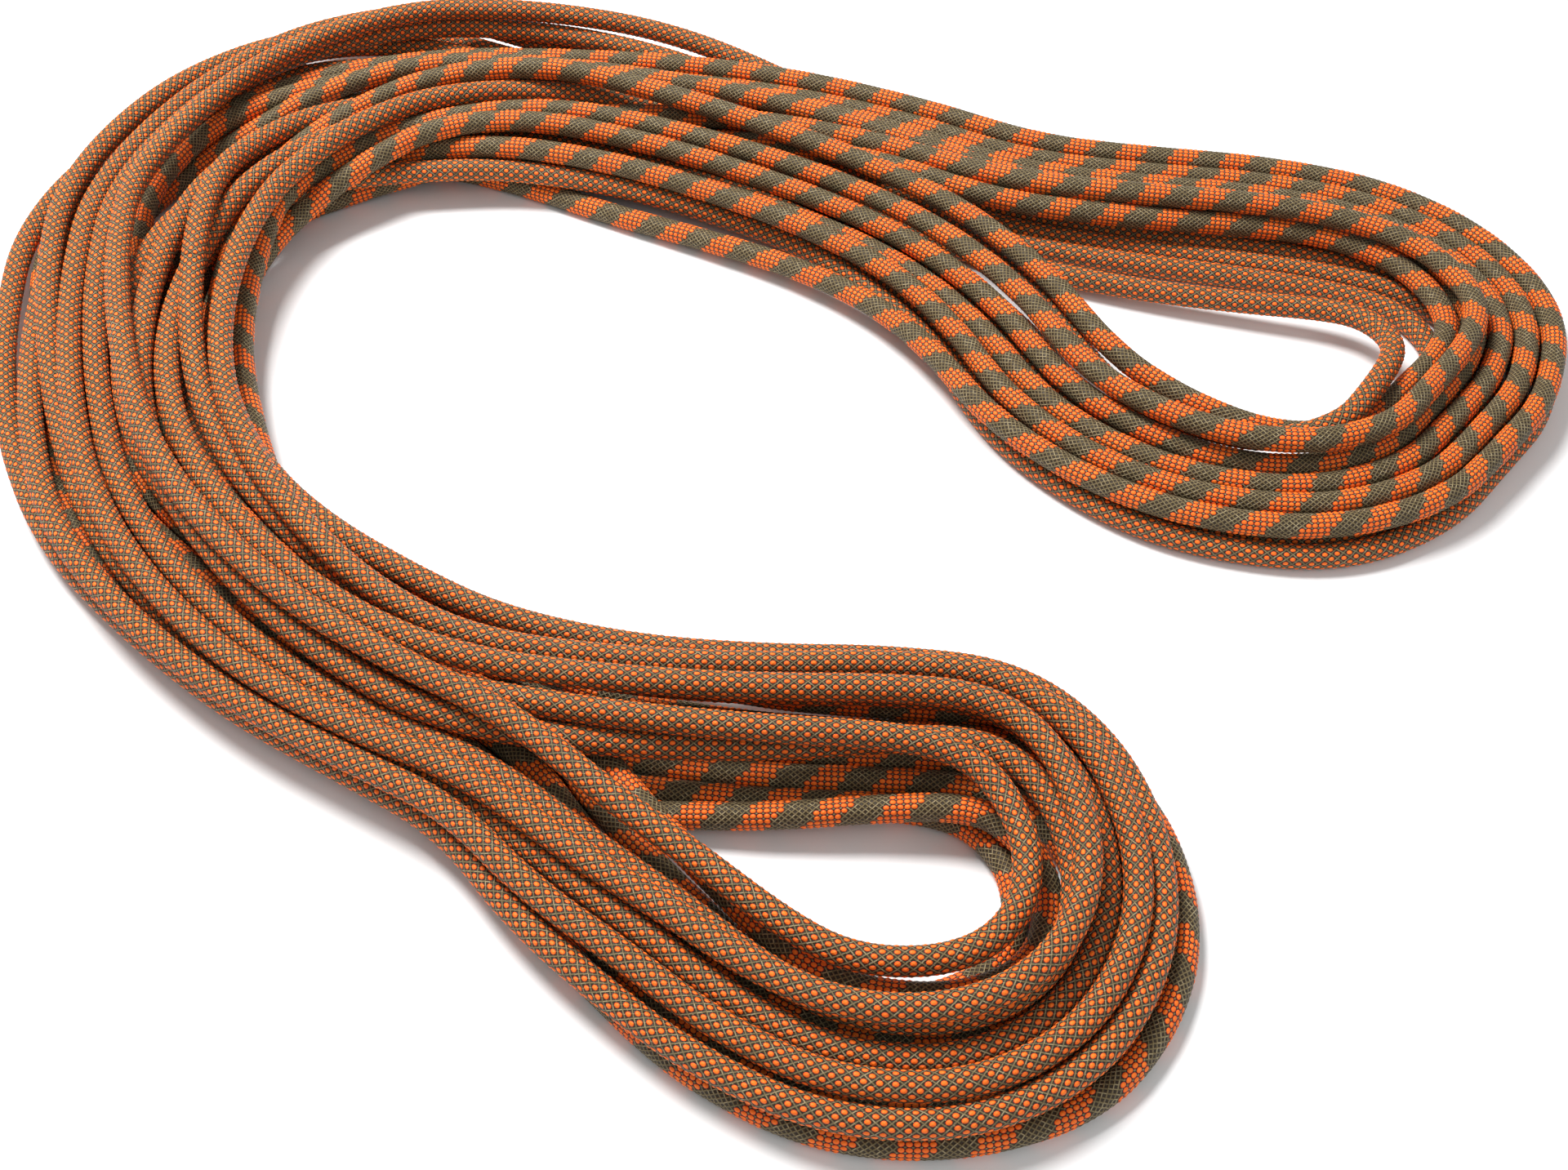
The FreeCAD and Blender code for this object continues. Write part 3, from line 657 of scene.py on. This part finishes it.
def sheath_material(name, banded):
    """Braided nylon: plump orange floats on a fine olive weave of paired yarns."""
    material, tree, shader = new_material(name)
    uv = add_node(tree, "ShaderNodeUVMap", uv_map="braid").outputs[0]
    place = add_node(tree, "ShaderNodeTexCoord").outputs["Object"]
    wobble = add_node(tree, "ShaderNodeSeparateXYZ")
    tree.links.new(noise(tree, place, 260.0, 1.0, "Color"), wobble.inputs[0])
    split = add_node(tree, "ShaderNodeSeparateXYZ")
    tree.links.new(uv, split.inputs[0])
    u, v = split.outputs[0], split.outputs[1]
    u = maths(tree, "ADD", u, maths(tree, "MULTIPLY_ADD", wobble.outputs[0], 0.16, -0.08))
    v = maths(tree, "ADD", v, maths(tree, "MULTIPLY_ADD", wobble.outputs[1], 0.16, -0.08))
    cell_u, cell_v = maths(tree, "FLOOR", u), maths(tree, "FLOOR", v)
    if banded:
        middle_phase = 0.5 / BAND_FLOATS + 0.5 * BAND_SLANT / ROWS
        phase_v = maths(tree, "MULTIPLY_ADD", cell_v, BAND_SLANT / ROWS, middle_phase)
        phase = maths(tree, "MULTIPLY_ADD", cell_u, 1 / BAND_FLOATS, phase_v)
    else:
        phase = maths(tree, "MULTIPLY", maths(tree, "ADD", cell_u, cell_v), 0.5)
    part_of_period = maths(tree, "FRACT", maths(tree, "ADD", phase, 20.001))
    lit_cell = maths(tree, "LESS_THAN", part_of_period, ORANGE_SHARE)
    x = maths(tree, "ABSOLUTE", maths(tree, "SUBTRACT", maths(tree, "SUBTRACT", u, cell_u), 0.5))
    y = maths(tree, "ABSOLUTE", maths(tree, "SUBTRACT", maths(tree, "SUBTRACT", v, cell_v), 0.5))
    x_power, y_power = maths(tree, "POWER", x, FLOAT_POWER), maths(tree, "POWER", y, FLOAT_POWER)
    powers = maths(tree, "ADD", x_power, y_power)
    edge = maths(tree, "DIVIDE", maths(tree, "POWER", powers, 1 / FLOAT_POWER), FLOAT_REACH)
    orange = maths(tree, "MULTIPLY", span(tree, edge, 1.0, 0.9), lit_cell)

    # The olive weave: paired yarns in dashes that lean one way and the other in turn.
    fine_u, fine_v = maths(tree, "MULTIPLY", u, 2.0), maths(tree, "MULTIPLY", v, 2.0)
    fine_cell_u, fine_cell_v = maths(tree, "FLOOR", fine_u), maths(tree, "FLOOR", fine_v)
    odd = maths(tree, "PINGPONG", maths(tree, "ADD", fine_cell_u, fine_cell_v), 1.0)
    lean = maths(tree, "MULTIPLY_ADD", odd, 2.0, -1.0)
    gu = maths(tree, "SUBTRACT", maths(tree, "FRACT", fine_u), 0.5)
    gv = maths(tree, "SUBTRACT", maths(tree, "FRACT", fine_v), 0.5)
    leaning = maths(tree, "MULTIPLY", gu, lean)
    across = maths(tree, "ABSOLUTE", maths(tree, "MULTIPLY_ADD", leaning, 1.1, gv))
    dash = span(tree, across, 0.62, 0.05)
    cell_place = add_node(tree, "ShaderNodeCombineXYZ")
    plug(tree, cell_place.inputs[0], fine_cell_u)
    plug(tree, cell_place.inputs[1], fine_cell_v)
    random = add_node(tree, "ShaderNodeTexWhiteNoise", noise_dimensions="2D")
    tree.links.new(cell_place.outputs[0], random.inputs["Vector"])
    chance = random.outputs["Value"]

    # Painted shade: the olive goes near black in the gaps between the yarn dashes.
    dark = (*OLIVE_GAP_SHADE, 1)
    olive = blend(tree, dash, dark, (*OLIVE, 1))
    # Painted highlight: pale glints on the middles of random olive dashes.
    glint = maths(tree, "MULTIPLY", span(tree, chance, 0.62, 1.0), span(tree, dash, 0.55, 1.0))
    olive = blend(tree, maths(tree, "MULTIPLY", glint, 0.75), olive, (*OLIVE_GLINT, 1))
    mottle = noise(tree, place, 90.0, 3.0)
    bright = blend(tree, span(tree, mottle, 0.35, 0.65, 0.0, 0.5), (*ORANGE, 1), (*ORANGE_DEEP, 1))
    # Painted shade: the outer part of each orange float turns deep red, as where it rounds away from the
    # light.
    shade_rimmed = blend(tree, span(tree, edge, 0.62, 1.0), bright, (*ORANGE_RIM_SHADE, 1))
    # Painted shade: the groove just outside each orange float goes near black.
    beside = maths(tree, "MULTIPLY", span(tree, edge, 0.88, 1.0), span(tree, edge, 1.3, 1.08))
    groove = maths(tree, "MULTIPLY", lit_cell, beside)
    colour = blend(tree, orange, olive, shade_rimmed)
    colour = blend(tree, maths(tree, "MULTIPLY", groove, 0.85), colour, (*GROOVE_SHADE, 1))
    tree.links.new(colour, shader.inputs["Base Color"])

    crown = maths(tree, "SUBTRACT", 1.0, maths(tree, "MULTIPLY", edge, edge))
    pillow = maths(tree, "SQRT", maths(tree, "MAXIMUM", crown, 0.0))
    fibres = noise(tree, place, 2600.0, 2.0)
    height = maths(tree, "ADD", maths(tree, "MULTIPLY", pillow, maths(tree, "MULTIPLY", orange, 0.8)),
                   maths(tree, "MULTIPLY", dash, maths(tree, "MULTIPLY_ADD", orange, -0.55, 0.7)))
    height = maths(tree, "MULTIPLY_ADD", fibres, 0.25, height)
    bump(tree, shader, height, BUMP_DEPTH)
    rough = span(tree, fibres, 0.3, 0.7, 0.46, 0.64)
    tree.links.new(rough, shader.inputs["Roughness"])
    shader.inputs["Specular IOR Level"].default_value = 0.3
    shader.inputs["Sheen Weight"].default_value = 0.03
    shader.inputs["Sheen Roughness"].default_value = 0.45
    return material


def spun_material(name, colour, dark, scale, roughness):
    """Filaments: fine lengthwise streaks."""
    material, tree, shader = new_material(name)
    place = add_node(tree, "ShaderNodeTexCoord").outputs["Object"]
    streaks = noise(tree, place, scale, 4.0)
    tree.links.new(blend(tree, span(tree, streaks, 0.3, 0.7), dark, colour), shader.inputs["Base Color"])
    rough = span(tree, streaks, 0.2, 0.8, roughness - 0.1, roughness + 0.1)
    tree.links.new(rough, shader.inputs["Roughness"])
    bump(tree, shader, streaks, 0.00015)
    shader.inputs["Sheen Weight"].default_value = 0.2
    return material


def moulded_material(name, colour, specks_colour, roughness, scale, depth):
    """Shrunk or melted plastic: a soft gloss over faint ripples and specks."""
    material, tree, shader = new_material(name)
    place = add_node(tree, "ShaderNodeTexCoord").outputs["Object"]
    ripples = noise(tree, place, scale, 3.0)
    specks = noise(tree, place, scale * 9, 2.0)
    tree.links.new(blend(tree, span(tree, specks, 0.4, 0.75), colour, specks_colour),
                   shader.inputs["Base Color"])
    rough = span(tree, ripples, 0.3, 0.7, roughness - 0.08, roughness + 0.12)
    tree.links.new(rough, shader.inputs["Roughness"])
    bump(tree, shader, maths(tree, "MULTIPLY_ADD", specks, 0.3, ripples), depth)
    shader.inputs["Coat Weight"].default_value = 0.15
    return material


banded_sheath = sheath_material("banded_sheath", True)
dotted_sheath = sheath_material("dotted_sheath", False)
core_nylon = spun_material(
    "core_nylon", colour=(0.82, 0.80, 0.74, 1), dark=(0.55, 0.53, 0.47, 1), scale=900.0, roughness=0.6)
marker_yarn = spun_material(
    "marker_yarn", colour=(0.05, 0.16, 0.45, 1), dark=(0.02, 0.06, 0.2, 1), scale=2500.0, roughness=0.6)
sleeve_plastic = moulded_material(
    "sleeve_plastic", colour=(0.018, 0.018, 0.02, 1), specks_colour=(0.05, 0.05, 0.052, 1),
    roughness=0.36, scale=380.0, depth=0.0001)
melted_nylon = moulded_material(
    "melted_nylon", colour=(0.075, 0.05, 0.022, 1), specks_colour=(0.22, 0.06, 0.02, 1),
    roughness=0.3, scale=700.0, depth=0.0004)

# ---- the rope ----
TURN_RINGS = skein_rings()
pieces = []
for turn, rings in enumerate(TURN_RINGS):
    end_material = (banded_sheath, dotted_sheath)[turn // TURNS_PER_HALF]
    pieces.append(make_turn(turn, rings, [end_material, core_nylon]))

END_RINGS = 60               # the rings nearest to a rope end that its sleeve and cap are built on
for pattern, rings, backwards in (("banded", TURN_RINGS[0], False), ("dotted", TURN_RINGS[-1], True)):
    step = -1 if backwards else 1
    near = slice(None, -END_RINGS, -1) if backwards else slice(0, END_RINGS)
    end_rings = (rings[0][near], rings[1][near] * step, rings[2][near])
    outer = ROPE_RADIUS + SLEEVE_WALL
    sleeve_profile = [(CAP_LENGTH, ROPE_RADIUS + 0.02), (CAP_LENGTH - 0.3, ROPE_RADIUS + 0.2)]
    sleeve_profile += [(CAP_LENGTH, outer), (CAP_LENGTH + 1.5, outer + 0.02)]
    for i in range(1, 16):
        place = CAP_LENGTH + 1.5 + i * (SLEEVE_LENGTH - CAP_LENGTH - 2.5) / 16
        sleeve_profile.append((place, outer - 0.05 + 0.04 * math.sin(i * 2.1)))
    sleeve_profile += [(SLEEVE_LENGTH - 0.6, outer - 0.02), (SLEEVE_LENGTH - 0.05, outer - 0.12)]
    sleeve_profile += [(SLEEVE_LENGTH, ROPE_RADIUS + 0.05), (SLEEVE_LENGTH - 1, ROPE_RADIUS + 0.01)]
    sleeve = lathe(f"shrunk_sleeve_{pattern}_end", end_rings, sleeve_profile, sleeve_plastic,
                   ((3, 0.4, 0.02), (7, 1.1, 0.012)), True)
    ride_and_finish(sleeve, "sleeve", f"end_sleeve_{pattern}")
    cap_profile = [(0.02, 0.02), (0.02, 1.2), (0.0, 2.4), (0.1, 3.5), (0.35, 4.25), (0.8, 4.6)]
    cap_profile += [(1.4, 4.72), (2.0, 4.7), (2.5, 4.55), (2.52, 3.0)]
    cap = lathe(f"fused_cap_{pattern}_end", end_rings, cap_profile, melted_nylon,
                ((2, 0.7, 0.05), (5, 2.0, 0.04), (9, 0.3, 0.02)), False)
    ride_and_finish(cap, "melted_nylon", f"melted_cap_{pattern}")

for turn, (piece, rings) in enumerate(zip(pieces, TURN_RINGS)):
    path = rings[0][::SAMPLES] * MM
    if turn == 0:
        path = path[::-1]

for pattern in ("banded", "dotted"):
    for name, material, slot_name in (
        (f"core_strands_{pattern}_end", core_nylon, "core"),
        (f"marker_thread_{pattern}_end", marker_yarn, "marker_thread"),
    ):
        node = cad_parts[name]
        node.data.materials.clear()
        node.data.materials.append(material)

# ---- floor and light ----
floor_material, tree, shader = new_material("floor")
place = add_node(tree, "ShaderNodeTexCoord").outputs["Object"]
grain = noise(tree, place, 40.0, 3.0)
pale = blend(tree, grain, (0.86, 0.86, 0.86, 1), (0.9, 0.9, 0.9, 1))
tree.links.new(pale, shader.inputs["Base Color"])
shader.inputs["Roughness"].default_value = 0.85
floor = surface("floor", [(-4000, -4000, 0), (4000, -4000, 0), (4000, 4000, 0), (-4000, 4000, 0)],
                [(0, 1, 2, 3)], floor_material)

world = bpy.data.worlds.new("studio")
world.use_nodes = True
world.node_tree.nodes["Background"].inputs["Color"].default_value = (1.0, 1.0, 1.0, 1)
world.node_tree.nodes["Background"].inputs["Strength"].default_value = AMBIENT
bpy.context.scene.world = world
for name, location, size, power in LAMPS:
    lamp_data = bpy.data.lights.new(name, "AREA")
    lamp_data.shape = "DISK"
    lamp_data.size = size
    lamp_data.energy = power
    lamp = bpy.data.objects.new(name, lamp_data)
    lamp.location = location
    lamp.rotation_euler = (-Vector(location)).to_track_quat("-Z", "Y").to_euler()
    bpy.context.scene.collection.objects.link(lamp)
bpy.context.scene.view_settings.view_transform = "Standard"

bpy.context.view_layer.update()
